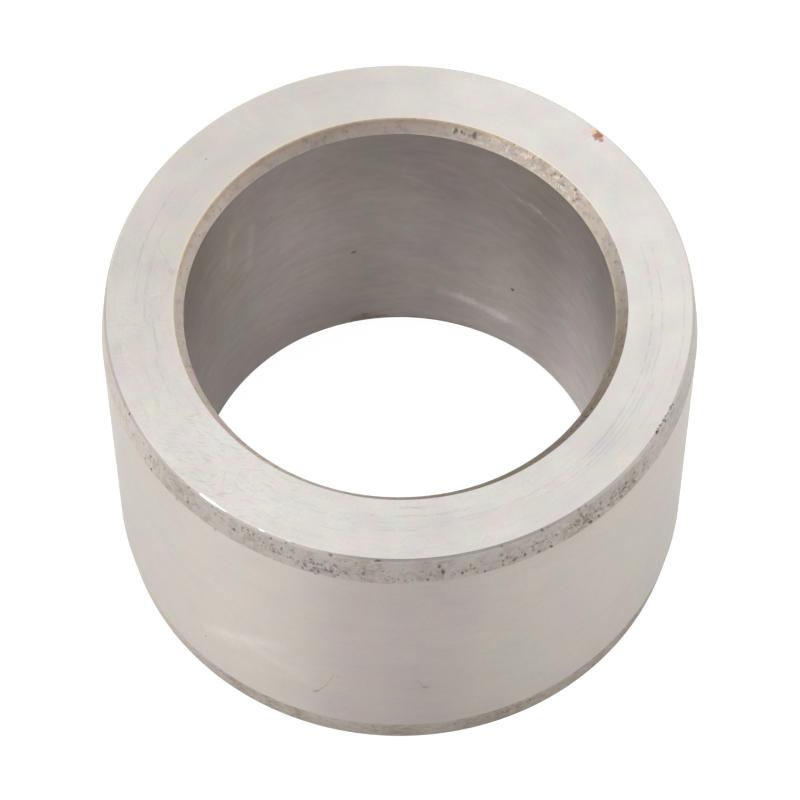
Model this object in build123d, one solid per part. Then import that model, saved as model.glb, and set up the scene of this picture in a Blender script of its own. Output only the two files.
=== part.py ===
from build123d import *
import os

# Spacer sleeve: one plain steel ring, turned all over, hardened, then ground on both ends and
# on the outside. Its axis is Z, and the origin is the centre of the end that it stands on.
# All sizes are in millimetres.

outside_diameter = 72.0
bore_diameter = 52.0
sleeve_length = 45.0

# Each end of the outside has a long, shallow lead-in, and the corner where it meets the
# ground end face is broken at 45 degrees.
lead_in_length = 4.0
lead_in_depth = 0.5
edge_break = 0.3

# Each mouth of the bore has a chamfer of the same length. The lower one is the shallower.
bore_chamfer_length = 1.65
upper_chamfer_depth = 1.3
lower_chamfer_depth = 0.8

outside_radius = outside_diameter / 2
bore_radius = bore_diameter / 2
lead_in_radius = outside_radius - lead_in_depth
face_outer_radius = lead_in_radius - edge_break


def end_corners(face_level, inward, chamfer_depth):
    """One end of the wall's section, as (radius, level), from the bore out to the outside.

    inward is +1 where the sleeve lies above its end face and -1 where it lies below.
    """
    return [
        (bore_radius, face_level + inward * bore_chamfer_length),
        (bore_radius + chamfer_depth, face_level),
        (face_outer_radius, face_level),
        (lead_in_radius, face_level + inward * edge_break),
        (outside_radius, face_level + inward * (edge_break + lead_in_length)),
    ]


def section_outline():
    """The closed section of the wall, from the foot of the bore round to its mouth."""
    lower_end = end_corners(0.0, 1, lower_chamfer_depth)
    upper_end = end_corners(sleeve_length, -1, upper_chamfer_depth)
    return lower_end + upper_end[::-1]


def make_sleeve():
    """The whole sleeve, turned from its section about Z."""
    with BuildPart() as sleeve:
        with BuildSketch(Plane.XZ):
            with BuildLine():
                Polyline(*section_outline(), close=True)
            make_face()
        revolve(axis=Axis.Z)
    return sleeve.part


spacer_sleeve = make_sleeve()
os.makedirs("parts", exist_ok=True)
export_step(spacer_sleeve, "parts/spacer_sleeve.step")
print(f"spacer_sleeve volume {spacer_sleeve.volume:.1f} mm3")
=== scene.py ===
import math
from collections import namedtuple
from functools import partial, partialmethod, reduce
from itertools import accumulate

import bpy
import numpy as np
from bpy.props import FloatProperty, FloatVectorProperty, IntProperty, PointerProperty
from bpy.types import Operator, Panel, PropertyGroup
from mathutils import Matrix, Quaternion, Vector


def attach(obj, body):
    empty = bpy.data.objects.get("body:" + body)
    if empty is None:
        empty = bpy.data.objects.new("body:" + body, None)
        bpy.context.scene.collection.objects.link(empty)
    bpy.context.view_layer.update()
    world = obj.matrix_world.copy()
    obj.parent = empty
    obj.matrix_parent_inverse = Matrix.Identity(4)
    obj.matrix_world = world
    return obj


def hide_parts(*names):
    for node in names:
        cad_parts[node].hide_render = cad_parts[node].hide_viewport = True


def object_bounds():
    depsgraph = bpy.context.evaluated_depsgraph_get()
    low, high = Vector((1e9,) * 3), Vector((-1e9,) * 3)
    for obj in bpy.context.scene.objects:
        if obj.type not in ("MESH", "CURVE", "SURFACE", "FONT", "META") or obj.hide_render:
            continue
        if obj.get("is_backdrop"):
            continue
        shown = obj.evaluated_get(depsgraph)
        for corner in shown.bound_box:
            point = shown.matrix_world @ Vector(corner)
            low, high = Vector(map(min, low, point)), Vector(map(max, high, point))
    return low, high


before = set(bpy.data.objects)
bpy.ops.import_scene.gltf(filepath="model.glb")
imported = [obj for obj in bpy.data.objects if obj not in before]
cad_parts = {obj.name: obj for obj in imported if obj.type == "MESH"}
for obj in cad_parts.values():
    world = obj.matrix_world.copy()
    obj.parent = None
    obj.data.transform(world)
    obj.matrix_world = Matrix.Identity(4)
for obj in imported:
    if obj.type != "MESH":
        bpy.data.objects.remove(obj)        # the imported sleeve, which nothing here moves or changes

bl_info = {
    "name": "Worn spacer sleeve",
    "version": (1, 0, 0),
    "blender": (4, 5, 0),
    "location": "3D View > Sidebar > Sleeve",
    "description": "Dresses a turned and ground steel spacer sleeve and sets it on a plain stage",
    "category": "Add Mesh",
}

NODE = "spacer_sleeve"
BODY = "root"
MM = 0.001

# The strips of the turned section, from the foot of the bore wall up, over the rim and back underneath.
STRIPS = ("bore", "chamfer", "face", "edge", "lead", "outside", "lead", "edge", "face", "chamfer")
BORE, UP_CHAMFER, UP_FACE, UP_EDGE, UP_LEAD, OUTSIDE, LOW_LEAD, LOW_EDGE, LOW_FACE, LOW_CHAMFER = range(10)
FINISHES = ("bore", "chamfer", "face", "edge", "lead", "outside")

COLUMNS = 2880           # finest columns round the ring
BASE_STEP = 12           # every twelfth column runs over the whole section
HALF_TURN = COLUMNS // 2

REACH = 1.35             # how far a mark may spread past its half width
DIRT_REACH = 1.5         # how far the dirt of a mark is looked for, in half widths
DIRT_END, DIRT_FADE = 1.18, 0.65         # where the dirt ends and over how much of the mark it fades out
PIT_SHRINK = 1.22        # makes up for the bulges of a pit's ragged outline
PIT_WAVES = ((2, 0.2), (3, 0.15), (5, 0.08))      # bulges round a pit and how high they are
PIT_BOWL = 0.8           # below one, a pit's walls are steeper and its floor flatter
PITTED = ("lead", "chamfer", "edge")     # strips with fine rows all over
GUARD_ROWS = (0.08, 0.18, 0.32)          # rows beside a plain strip's ends, in mm
ROW_GAP = 0.45                           # closest rows, as a share of a fine row

Mark = namedtuple("Mark", "turn strip along wide tall deep dirt phase")


# ---------------------------------------------------------------- settings


class WornSleeveShape(PropertyGroup):
    """Sizes of the wear that is cut into the sleeve."""

    corner_round: FloatProperty(
        name="Corner rounding", description="How far each turned corner is rounded off along its two faces",
        default=0.00007, min=0.0, max=0.0005, precision=5, subtype="DISTANCE", unit="LENGTH")
    fine_row: FloatProperty(
        name="Fine row", description="Spacing of the mesh rows on the pitted bands",
        default=0.000112, min=0.00005, precision=6, subtype="DISTANCE", unit="LENGTH")
    plain_row: FloatProperty(
        name="Plain row", description="Spacing of the mesh rows on the bore, the end faces and the outside",
        default=0.0016, min=0.0003, precision=5, subtype="DISTANCE", unit="LENGTH")
    pit_depth: FloatProperty(
        name="Pit depth", description="Depth of the largest corrosion pits",
        default=0.00013, min=0.0, precision=6, subtype="DISTANCE", unit="LENGTH")
    nick_depth: FloatProperty(
        name="Nick depth", description="How deep the bright nick is cut into the outer edge of the upper face",
        default=0.000075, min=0.0, precision=6, subtype="DISTANCE", unit="LENGTH")
    seed: IntProperty(
        name="Wear seed", description="Picks where the small scattered pits fall", default=7, min=0)


class WornSleeveFinish(PropertyGroup):
    """Colours and gloss of the bare steel."""

    face_colour: FloatVectorProperty(
        name="End face", description="Ground steel of the two end faces", subtype="COLOR", size=3,
        default=(0.6, 0.574, 0.545), min=0.0, max=1.0)
    outside_colour: FloatVectorProperty(
        name="Outside", description="Ground steel of the outside", subtype="COLOR", size=3,
        default=(0.52, 0.477, 0.439), min=0.0, max=1.0)
    bore_colour: FloatVectorProperty(
        name="Bore", description="Honed steel of the bore wall", subtype="COLOR", size=3,
        default=(0.57, 0.52, 0.49), min=0.0, max=1.0)
    lead_colour: FloatVectorProperty(
        name="Lead-in", description="Turned steel of the tapered lead-ins", subtype="COLOR", size=3,
        default=(0.45, 0.415, 0.385), min=0.0, max=1.0)
    chamfer_colour: FloatVectorProperty(
        name="Bore chamfer", description="Browned steel of the chamfers at the bore", subtype="COLOR", size=3,
        default=(0.47, 0.41, 0.355), min=0.0, max=1.0)
    edge_colour: FloatVectorProperty(
        name="Edge break", description="Steel of the small edge break at the rim", subtype="COLOR", size=3,
        default=(0.44, 0.41, 0.375), min=0.0, max=1.0)
    # Colour of the painted shade on the edge breaks, a painted dark reflection on the upper one.
    film_colour: FloatVectorProperty(
        name="Dull film", description="Olive-grey film on part of the edge break", subtype="COLOR", size=3,
        default=(0.288, 0.275, 0.248), min=0.0, max=1.0)
    # Colour of the straw line along the chamfer edges, which is partly painted edge highlight.
    rub_colour: FloatVectorProperty(
        name="Rubbed edge", description="Straw-coloured line where the chamfer meets the end face",
        subtype="COLOR", size=3, default=(0.66, 0.55, 0.39), min=0.0, max=1.0)
    rust_colour: FloatVectorProperty(
        name="Rust", description="Brown rust of the spot on the end face", subtype="COLOR", size=3,
        default=(0.36, 0.165, 0.1), min=0.0, max=1.0)
    pit_colour: FloatVectorProperty(
        name="Pit", description="Dark corrosion in the pits", subtype="COLOR", size=3,
        default=(0.095, 0.072, 0.066), min=0.0, max=1.0)
    roughness: FloatProperty(
        name="Roughness", description="Roughness of the ground faces", default=0.36, min=0.05, max=1.0,
        subtype="FACTOR")


class WornSleeveStage(PropertyGroup):
    """Camera, light and floor."""

    lens: FloatProperty(
        name="Lens", description="Focal length of the camera", default=177.5, min=1.0, unit="CAMERA")
    distance: FloatProperty(
        name="Distance", description="From the camera to the middle of the sleeve", default=0.4926, min=0.05,
        subtype="DISTANCE", unit="LENGTH")
    elevation: FloatProperty(
        name="Elevation", description="Height of the camera over the horizon", default=math.radians(58.49),
        subtype="ANGLE", unit="ROTATION")
    roll: FloatProperty(
        name="Roll", description="Turn of the camera about its own line of sight", default=math.radians(-0.15),
        subtype="ANGLE", unit="ROTATION")
    shift_right: FloatProperty(
        name="Shift right", description="Sideways shift of the lens, in frame widths", default=0.0003)
    shift_up: FloatProperty(
        name="Shift up", description="Upward shift of the lens, in frame widths", default=0.0012)
    floor_radius: FloatProperty(
        name="Floor radius", description="Size of the round floor", default=4.0, min=0.5,
        subtype="DISTANCE", unit="LENGTH")
    sky_strength: FloatProperty(
        name="Room light", description="Brightness of the white room round the stage", default=1.26, min=0.0)


# ---------------------------------------------------------------- the turned section


LEAST_BEND = 0.01        # sine of the smallest bend that counts as a corner


def section_corners():
    """Corners of the turned section in mm, (radius, height), from the foot of the bore wall up and over."""
    places = np.array([v.co[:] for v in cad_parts[NODE].data.vertices]) / MM
    rings = np.column_stack((np.hypot(places[:, 0], places[:, 1]), places[:, 2]))
    rings = np.unique(np.round(rings, 3), axis=0)
    middle = (rings.min(0) + rings.max(0)) / 2
    start = rings[np.lexsort((rings[:, 1], rings[:, 0]))[0]]
    heading = np.arctan2(rings[:, 1] - middle[1], rings[:, 0] - middle[0])
    first = math.atan2(start[1] - middle[1], start[0] - middle[0])
    order = np.argsort(np.round((first - heading) % (2 * math.pi), 6) % (2 * math.pi))
    rings = rings[order]
    before = rings - np.roll(rings, 1, axis=0)
    after = np.roll(rings, -1, axis=0) - rings
    before /= np.linalg.norm(before, axis=1)[:, None]
    after /= np.linalg.norm(after, axis=1)[:, None]
    bend = np.abs(before[:, 0] * after[:, 1] - before[:, 1] * after[:, 0])
    corners = rings[bend > LEAST_BEND]
    if len(corners) != len(STRIPS):
        raise RuntimeError(f"the packed sleeve has {len(corners)} section corners, not {len(STRIPS)}")
    return corners


class Section:
    """The turned section with the run of every strip."""

    def __init__(self):
        self.corners = section_corners()
        run = np.roll(self.corners, -1, axis=0) - self.corners
        self.length = np.linalg.norm(run, axis=1)
        self.heading = run / self.length[:, None]
        self.normal = np.column_stack((-self.heading[:, 1], self.heading[:, 0]))

    def point(self, strip, along):
        return self.corners[strip] + self.heading[strip] * along

    def at(self, strip, place):
        """Distance along a strip of the point at this height, or on an end face at this radius."""
        axis = 0 if STRIPS[strip] == "face" else 1
        return (place - self.corners[strip][axis]) / self.heading[strip][axis]

    def part_way(self, strip, share):
        """Distance along a strip of the point at this share of its length."""
        return self.length[strip] * share


# ---------------------------------------------------------------- the wear


def pit(rng, turn, strip, along, size, depth, dirt=1.0, flat=1.0):
    """One irregular corrosion pit: half its width is size, in mm."""
    return Mark(turn, strip, along, size, size * flat, depth, dirt, tuple(rng.uniform(0, 2 * math.pi, 3)))


PATCH_CLIMB, PATCH_SWING = 0.6, 0.55     # how widely the pits of a patch lie, as a share of its spread
STRIP_MARGIN = 0.05      # how near a strip's end they may lie, in mm


def cluster(rng, section, strip, turn, turn_spread, along, along_spread, count, size, depth):
    """A patch of pits, thickest in its middle."""
    made = []
    for _ in range(count):
        place = along + along_spread * rng.normal() * PATCH_CLIMB
        place = min(max(place, STRIP_MARGIN), section.length[strip] - STRIP_MARGIN)
        wide = size * rng.uniform(0.55, 1.5)
        made.append(pit(rng, turn + turn_spread * rng.normal() * PATCH_SWING, strip, place, wide,
                        depth * min(1.0, wide / size) * rng.uniform(0.5, 1.0),
                        rng.uniform(0.3, 0.8), rng.uniform(0.8, 1.9)))
    return made


# Upper lead-in: turn and spread in degrees, height and spread in mm, how many, half width in mm.
UPPER_PATCHES = (
    (-154, 2.5, 43.4, 0.6, 5, 0.11), (-145, 3.0, 42.4, 0.8, 8, 0.12), (-134, 3.0, 42.6, 0.8, 7, 0.11),
    (-121, 3.5, 43.4, 0.6, 10, 0.11), (-113, 2.6, 42.9, 0.9, 14, 0.12), (-107, 3.2, 41.9, 0.9, 24, 0.14),
    (-102.5, 2.8, 42.0, 0.9, 24, 0.15), (-97, 2.5, 42.0, 0.6, 8, 0.12), (-91, 3.0, 41.4, 0.5, 10, 0.13),
    (-84, 2.5, 42.0, 0.7, 10, 0.12), (-77, 2.2, 41.9, 0.6, 12, 0.13), (-70, 3.0, 42.0, 0.9, 14, 0.12),
    (-62, 3.5, 42.2, 0.9, 14, 0.12), (-53.5, 3.2, 42.5, 1.1, 26, 0.12), (-43.5, 3.5, 42.3, 1.0, 24, 0.13),
    (-36, 3.0, 42.4, 0.9, 8, 0.11), (24, 5.0, 42.0, 0.8, 14, 0.12), (70, 7.0, 41.8, 0.8, 18, 0.13),
    (118, 5.0, 42.2, 0.8, 14, 0.12), (162, 6.0, 41.6, 0.7, 12, 0.12),
)
# Single pits of the upper lead-in: turn, height, half width, how much taller than wide, how dark.
UPPER_PITS = (
    (-156.5, 44.7, 0.13, 1.2, 0.8), (-154.3, 44.8, 0.2, 1.1, 1.0), (-156.3, 42.1, 0.13, 1.3, 0.6),
    (-152.0, 42.5, 0.16, 1.2, 0.5), (-148.0, 43.9, 0.16, 1.3, 0.7), (-147.0, 41.6, 0.18, 1.4, 0.8),
    (-145.5, 42.6, 0.16, 1.3, 0.7), (-144.8, 41.0, 0.24, 1.2, 1.0), (-140.8, 44.1, 0.2, 1.3, 0.5),
    (-142.5, 42.1, 0.16, 1.3, 0.5), (-134.1, 44.8, 0.16, 1.4, 0.6), (-134.0, 41.9, 0.24, 1.6, 0.5),
    (-136.9, 40.6, 0.3, 0.8, 0.5), (-128.0, 44.6, 0.13, 1.3, 0.7), (-125.6, 43.7, 0.16, 1.5, 0.6),
    (-122.8, 42.9, 0.2, 1.4, 1.0), (-119.8, 44.2, 0.17, 1.4, 0.8), (-118.6, 43.9, 0.15, 1.7, 0.8),
    (-127.0, 40.7, 0.3, 0.9, 0.5), (-114.9, 44.6, 0.15, 1.3, 0.8), (-116.4, 43.2, 0.16, 1.3, 0.5),
    (-112.7, 43.4, 0.2, 2.0, 0.7), (-114.1, 42.3, 0.26, 1.4, 0.5), (-110.4, 43.9, 0.16, 1.5, 0.7),
    (-110.8, 42.3, 0.2, 1.3, 0.6), (-108.4, 41.0, 0.22, 1.2, 0.8), (-106.9, 43.1, 0.26, 1.4, 0.5),
    (-106.7, 41.0, 0.22, 1.2, 0.7), (-105.4, 41.1, 0.24, 1.2, 0.9), (-105.8, 40.5, 0.22, 0.9, 0.8),
    (-103.9, 41.7, 0.22, 1.4, 0.7), (-103.0, 41.6, 0.28, 1.2, 0.9), (-104.1, 43.3, 0.16, 1.6, 0.5),
    (-103.1, 44.8, 0.26, 1.2, 0.7), (-102.3, 43.0, 0.17, 2.2, 0.7), (-101.6, 41.2, 0.2, 1.4, 0.8),
    (-100.2, 42.1, 0.18, 1.6, 0.5), (-100.3, 44.1, 0.2, 1.2, 0.5), (-96.8, 42.1, 0.24, 2.4, 0.7),
    (-95.2, 40.7, 0.2, 1.2, 0.4), (-93.2, 42.9, 0.3, 0.9, 0.5), (-92.4, 41.1, 0.24, 1.3, 0.5),
    (-91.2, 40.8, 0.24, 1.2, 0.5), (-89.1, 40.9, 0.22, 1.3, 0.5), (-87.7, 41.2, 0.2, 1.3, 0.4),
    (-85.9, 42.8, 0.34, 0.7, 0.5), (-84.9, 41.1, 0.26, 1.3, 0.9), (-82.7, 43.4, 0.26, 1.6, 1.0),
    (-82.0, 42.3, 0.32, 1.8, 1.0), (-78.4, 41.5, 0.26, 1.4, 1.0), (-76.8, 42.7, 0.24, 2.0, 0.6),
    (-75.6, 41.1, 0.22, 1.3, 0.6), (-74.1, 40.9, 0.2, 1.4, 0.9), (-70.8, 43.2, 0.24, 2.0, 0.6),
    (-70.6, 41.2, 0.24, 1.4, 0.7), (-68.2, 41.4, 0.3, 1.4, 1.0), (-67.3, 43.4, 0.16, 1.8, 0.4),
    (-66.1, 41.6, 0.28, 1.4, 1.0), (-63.2, 41.1, 0.26, 1.4, 1.0), (-62.2, 42.7, 0.3, 0.8, 0.4),
    (-60.6, 41.0, 0.28, 1.2, 1.0), (-59.4, 42.7, 0.18, 1.8, 0.8), (-57.8, 41.4, 0.22, 1.3, 0.5),
    (-54.8, 43.1, 0.24, 1.4, 0.5), (-53.7, 43.9, 0.2, 1.4, 0.5), (-51.6, 41.2, 0.38, 1.0, 1.0),
    (-49.6, 41.2, 0.24, 1.3, 1.0), (-49.0, 43.4, 0.18, 2.4, 0.8), (-47.1, 41.8, 0.2, 1.5, 1.0),
    (-44.1, 43.1, 0.22, 1.4, 0.5), (-43.6, 41.3, 0.24, 1.5, 0.9), (-42.3, 42.3, 0.24, 1.3, 0.9),
    (-42.0, 42.9, 0.2, 1.6, 0.8), (-39.6, 41.5, 0.24, 1.4, 0.9), (-39.5, 43.2, 0.28, 1.5, 0.6),
    (-37.0, 41.9, 0.2, 1.4, 0.7),
)
LOWER_PATCHES = (
    (-97, 3.0, 3.4, 0.6, 10, 0.12), (-80, 8.0, 3.2, 0.6, 18, 0.11), (-64, 6.0, 3.0, 0.7, 18, 0.11),
    (-125, 8.0, 3.0, 0.8, 14, 0.11), (-30, 8.0, 3.0, 0.8, 14, 0.11), (35, 7.0, 3.0, 0.8, 16, 0.12),
    (95, 9.0, 2.8, 0.8, 18, 0.12), (150, 6.0, 3.0, 0.8, 14, 0.12),
)
# Upper bore chamfer: turn and spread, share of the way up and spread in mm, how many, half width.
CHAMFER_PATCHES = (
    (112, 3.5, 0.5, 0.35, 5, 0.1), (58, 6.0, 0.55, 0.5, 10, 0.1), (43, 3.0, 0.55, 0.4, 9, 0.12),
    (35.5, 1.8, 0.55, 0.4, 7, 0.12), (22, 5.0, 0.5, 0.5, 6, 0.1), (4, 3.5, 0.5, 0.5, 5, 0.11),
    (-18, 4.0, 0.5, 0.5, 10, 0.12), (-34, 4.5, 0.5, 0.5, 14, 0.15), (-46, 4.0, 0.5, 0.5, 9, 0.13),
    (150, 8.0, 0.5, 0.5, 8, 0.1), (-70, 9.0, 0.5, 0.5, 8, 0.1), (-135, 9.0, 0.5, 0.5, 12, 0.13),
    (-165, 9.0, 0.5, 0.5, 8, 0.11),
)
# Single pits of the upper chamfer: turn, share of the way up, half width, how much taller than wide, how dark.
CHAMFER_PITS = (
    (74.8, 0.52, 0.38, 1.2, 0.9), (73.2, 0.55, 0.24, 1.2, 0.85), (72.4, 0.48, 0.14, 1.2, 0.8),
    (69.7, 0.54, 0.4, 1.2, 0.95), (70.7, 0.46, 0.18, 1.0, 0.7), (16.2, 0.92, 0.26, 0.9, 0.6),
    (19.1, 0.68, 0.2, 1.2, 0.6), (-6.4, 0.86, 0.22, 1.2, 0.9), (-10.0, 0.62, 0.24, 1.3, 0.9),
    (-21.3, 0.52, 0.32, 1.5, 1.0), (-20.4, 0.36, 0.2, 1.2, 0.9), (-32.8, 0.64, 0.34, 1.5, 1.0),
    (-37.2, 0.62, 0.3, 1.6, 1.0), (-41.0, 0.52, 0.3, 1.4, 0.9), (58.0, 0.8, 0.14, 1.2, 0.6),
    (52.6, 0.76, 0.14, 1.4, 0.6), (48.1, 0.66, 0.13, 1.6, 0.5), (45.0, 0.74, 0.15, 1.7, 0.8),
    (43.1, 0.85, 0.18, 1.6, 0.8), (42.8, 0.26, 0.13, 1.2, 0.7), (37.6, 0.84, 0.24, 1.2, 0.9),
    (36.6, 0.7, 0.15, 1.3, 0.7), (13.5, 0.6, 0.18, 1.8, 0.6), (9.5, 0.86, 0.24, 1.4, 0.6),
    (-13.0, 0.9, 0.22, 1.2, 0.8), (-35.5, 0.72, 0.38, 1.7, 1.0), (-34.2, 0.35, 0.16, 1.6, 0.9),
    (-39.0, 0.56, 0.34, 1.5, 1.0), (-44.5, 0.6, 0.22, 1.3, 0.7), (-49.0, 0.45, 0.2, 1.3, 0.6),
    (104.0, 0.45, 0.16, 1.2, 0.6), (-128.0, 0.5, 0.2, 1.3, 0.6),
)
# Spots on the end faces, in the bore and on the outside: strip, turn, height or radius, half width, depth.
SPOTS = (
    (UP_FACE, 138.3, 31.75, 0.15, 0.03), (BORE, 103.1, 18.0, 0.42, 0.06), (BORE, 106, 35.2, 0.16, 0.05),
    (BORE, 128, 33.1, 0.16, 0.04), (BORE, 55.8, 14.9, 0.38, 0.05), (BORE, -60, 22.0, 0.2, 0.05),
    (OUTSIDE, -132, 10.6, 0.18, 0.05), (OUTSIDE, 60, 30.0, 0.22, 0.05), (OUTSIDE, 140, 17.0, 0.2, 0.05),
    (LOW_FACE, -60, 31.0, 0.3, 0.06), (LOW_FACE, 150, 33.0, 0.22, 0.05),
)
# Hollows that rust has eaten close together in the upper face: radius, turn, half width.
RUST_HOLLOWS = (
    (34.95, 44.9, 0.36), (34.75, 45.9, 0.3), (34.25, 45.0, 0.22), (34.5, 43.9, 0.24), (35.1, 44.2, 0.2),
    (34.2, 46.8, 0.14),
)
# Chips of the upper edge break: turn, half width. The torn ones lie beside the notch.
RIM_CHIPS = ((-103.2, 0.24), (-111.9, 0.15), (-70.6, 0.2), (-62.3, 0.24), (-54, 0.2), (-52.4, 0.2))
TORN_CHIPS = (-29.4, -28.9, -28.1, -27.8, -27.0, -26.2, -25.1, -24.7, -23.9)
# Small chips of both edge breaks: strip, from and to how far along it, widest half width, depth, dirt, turns.
SMALL_CHIPS = (
    (UP_EDGE, 0.0, 0.3, 0.2, 0.06, 0.5, (-164, -110.5, -80.7, -61, -12, 9, 52, 97, 141)),
    (LOW_EDGE, 0.1, 0.4, 0.22, 0.07, 0.6, (-150, -117, -88, -49, -5, 38, 81, 133, 171)),
)
SCATTERED = ((UP_LEAD, 46), (LOW_LEAD, 46), (UP_CHAMFER, 26), (LOW_CHAMFER, 34))    # strip, how many pits
LEAD_SHARE, CHAMFER_SHARE, SCATTERED_SHARE = 0.7, 0.6, 0.5    # of the full pit depth


def every_mark(section, shape):
    """All pits, chips and spots of the sleeve, the same ones on every run."""
    rng = np.random.default_rng(shape.seed)
    draw = rng.uniform
    deep = shape.pit_depth / MM
    marks = []

    def add(*mark):
        marks.append(pit(rng, *mark))

    def patches(strip, where, rows, share):
        for turn, spread, at, rise, count, size in rows:
            marks.extend(cluster(rng, section, strip, turn, spread, where(strip, at), rise, count, size,
                                 deep * share))

    def single_pits(strip, where, rows):
        for turn, at, size, taller, dark in rows:
            add(turn, strip, where(strip, at), size, deep * dark, dark, taller)

    patches(UP_LEAD, section.at, UPPER_PATCHES, LEAD_SHARE)
    single_pits(UP_LEAD, section.at, UPPER_PITS)
    patches(LOW_LEAD, section.at, LOWER_PATCHES, LEAD_SHARE)
    patches(UP_CHAMFER, section.part_way, CHAMFER_PATCHES, CHAMFER_SHARE)
    single_pits(UP_CHAMFER, section.part_way, CHAMFER_PITS)
    for strip, count in SCATTERED:
        for _ in range(count):
            add(draw(-180, 180), strip, draw(0.1, 0.9) * section.length[strip], draw(0.09, 0.17),
                deep * SCATTERED_SHARE, draw(0.3, 0.7), 1.3)
    # Notch in the outer rim with a ragged edge beside it, then the chips of the rim and the edge breaks.
    add(-30.9, UP_EDGE, 0.12, 0.3, 0.2, 1.0, 0.9)
    add(-30.2, UP_EDGE, -0.05, 0.14, 0.08, 0.8, 1.5)
    for turn in TORN_CHIPS:
        add(turn, UP_EDGE, draw(-0.08, 0.22), draw(0.14, 0.34), 0.06, draw(0.4, 0.9), draw(0.4, 1.1))
    add(-94.2, UP_EDGE, 0.3, 0.52, 0.1, 1.0, 0.42)
    for turn, size in RIM_CHIPS:
        add(turn, UP_EDGE, draw(0.2, 0.4), size, 0.06, 0.7, 1.2)
    for strip, low, high, widest, depth, dirt, turns in SMALL_CHIPS:
        for turn in turns:
            add(turn, strip, draw(low, high), draw(0.12, widest), depth, dirt, 0.7)
    for strip, turn, at, size, depth in SPOTS:
        add(turn, strip, section.at(strip, at), size, depth, 0.8, draw(0.8, 1.1))
    for radius, turn, size in RUST_HOLLOWS:
        add(turn, UP_FACE, section.at(UP_FACE, radius), size, 0.06, 0.0)
    return marks


# Soft brown stain round the worst patches: strip, turn, spread in degrees, strength.
STAINS = (
    (UP_LEAD, -84, 4, 0.3), (UP_LEAD, -96, 3, 0.4), (UP_LEAD, -64, 7, 0.25), (UP_LEAD, -52, 8, 0.45),
    (UP_LEAD, -42, 8, 0.5), (UP_LEAD, -24, 8, 0.4), (UP_LEAD, -137, 7, 0.4), (UP_LEAD, -118, 4, 0.3),
    (UP_LEAD, 70, 9, 0.3), (UP_LEAD, 118, 8, 0.3), (UP_LEAD, 20, 8, 0.3),
    (LOW_LEAD, -90, 4, 0.6), (LOW_LEAD, -76, 3, 0.4), (LOW_LEAD, -69, 6, 0.7), (LOW_LEAD, -61, 5, 0.4),
    (LOW_LEAD, -52, 5, 0.6), (LOW_LEAD, -46, 3, 0.9), (LOW_LEAD, -36, 7, 0.8), (LOW_LEAD, -111, 1.6, 0.8),
    (LOW_LEAD, -117, 2.5, 0.8), (LOW_LEAD, -124, 4, 0.6), (LOW_LEAD, 95, 14, 0.6), (LOW_LEAD, 10, 12, 0.5),
    (LOW_LEAD, 170, 9, 0.6), (UP_CHAMFER, 110, 7, 0.5), (UP_CHAMFER, -32, 12, 1.0),
    (UP_CHAMFER, -14, 9, 0.8), (UP_CHAMFER, -55, 12, 0.8), (UP_CHAMFER, 70, 5, 0.3),
    (LOW_CHAMFER, 60, 14, 0.7), (LOW_CHAMFER, -120, 12, 0.7), (UP_EDGE, -33, 4, 0.7),
)


def apart(turn, degrees):
    """Difference in degrees from a turn in radians to one in degrees, the short way round."""
    return np.degrees(np.angle(np.exp(1j * (turn - math.radians(degrees)))))


def hump(distance, width, power=2):
    """One in the middle, fading out over the width."""
    return np.exp(-(distance / width) ** power)


WAVE_CREST = 2.2         # about how high the beats of a wave add up


def waver(turns, rng, amount):
    """A slow uneven wave round the ring, at most about amount high."""
    wave = np.zeros(len(turns))
    for beat in (1, 2, 3, 5, 8, 13):
        wave += math.sqrt(1.0 / beat) * np.sin(beat * turns + rng.uniform(0, 2 * math.pi))
    return wave * amount / WAVE_CREST


# Corner, the way it may slide (radius, height), and how far in mm.
SLIDES = (
    (BORE, (0, 1), 0.05), (UP_CHAMFER, (0, 1), 0.05), (UP_FACE, (1, 0), 0.03), (UP_EDGE, (1, 0), 0.015),
    (UP_LEAD, (-0.125, 1), 0.03), (OUTSIDE, (0, 1), 0.07), (LOW_LEAD, (0, 1), 0.07),
    (LOW_EDGE, (0.125, 1), 0.03), (LOW_FACE, (1, 0), 0.015), (LOW_CHAMFER, (1, 0), 0.03),
)
# Chamfers cut off centre: corner, which way in radians, how far in mm.
OFF_CENTRE = ((UP_FACE, 0.0, 0.17), (LOW_CHAMFER, 2.2, 0.1))
# Where the foot of the upper lead-in dips: turn and spread in degrees, how far in mm.
LEAD_DIP = (-95, 17, 0.24)


def worn_corners(section, shape):
    """The section corners at every column: the hand-fed grinding runs a little out of true."""
    rng = np.random.default_rng(shape.seed + 1)
    turns = np.arange(COLUMNS) * 2 * math.pi / COLUMNS
    corners = np.repeat(section.corners[:, None, :], COLUMNS, axis=1)
    for corner, way, amount in SLIDES:
        corners[corner] += waver(turns, rng, amount)[:, None] * np.array(way)
    for corner, way, amount in OFF_CENTRE:
        corners[corner, :, 0] += amount * np.cos(turns - way)
    degrees, spread, amount = LEAD_DIP
    corners[OUTSIDE, :, 1] -= amount * hump(apart(turns, degrees), spread)
    return corners


# ---------------------------------------------------------------- the mesh of the sleeve


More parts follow.
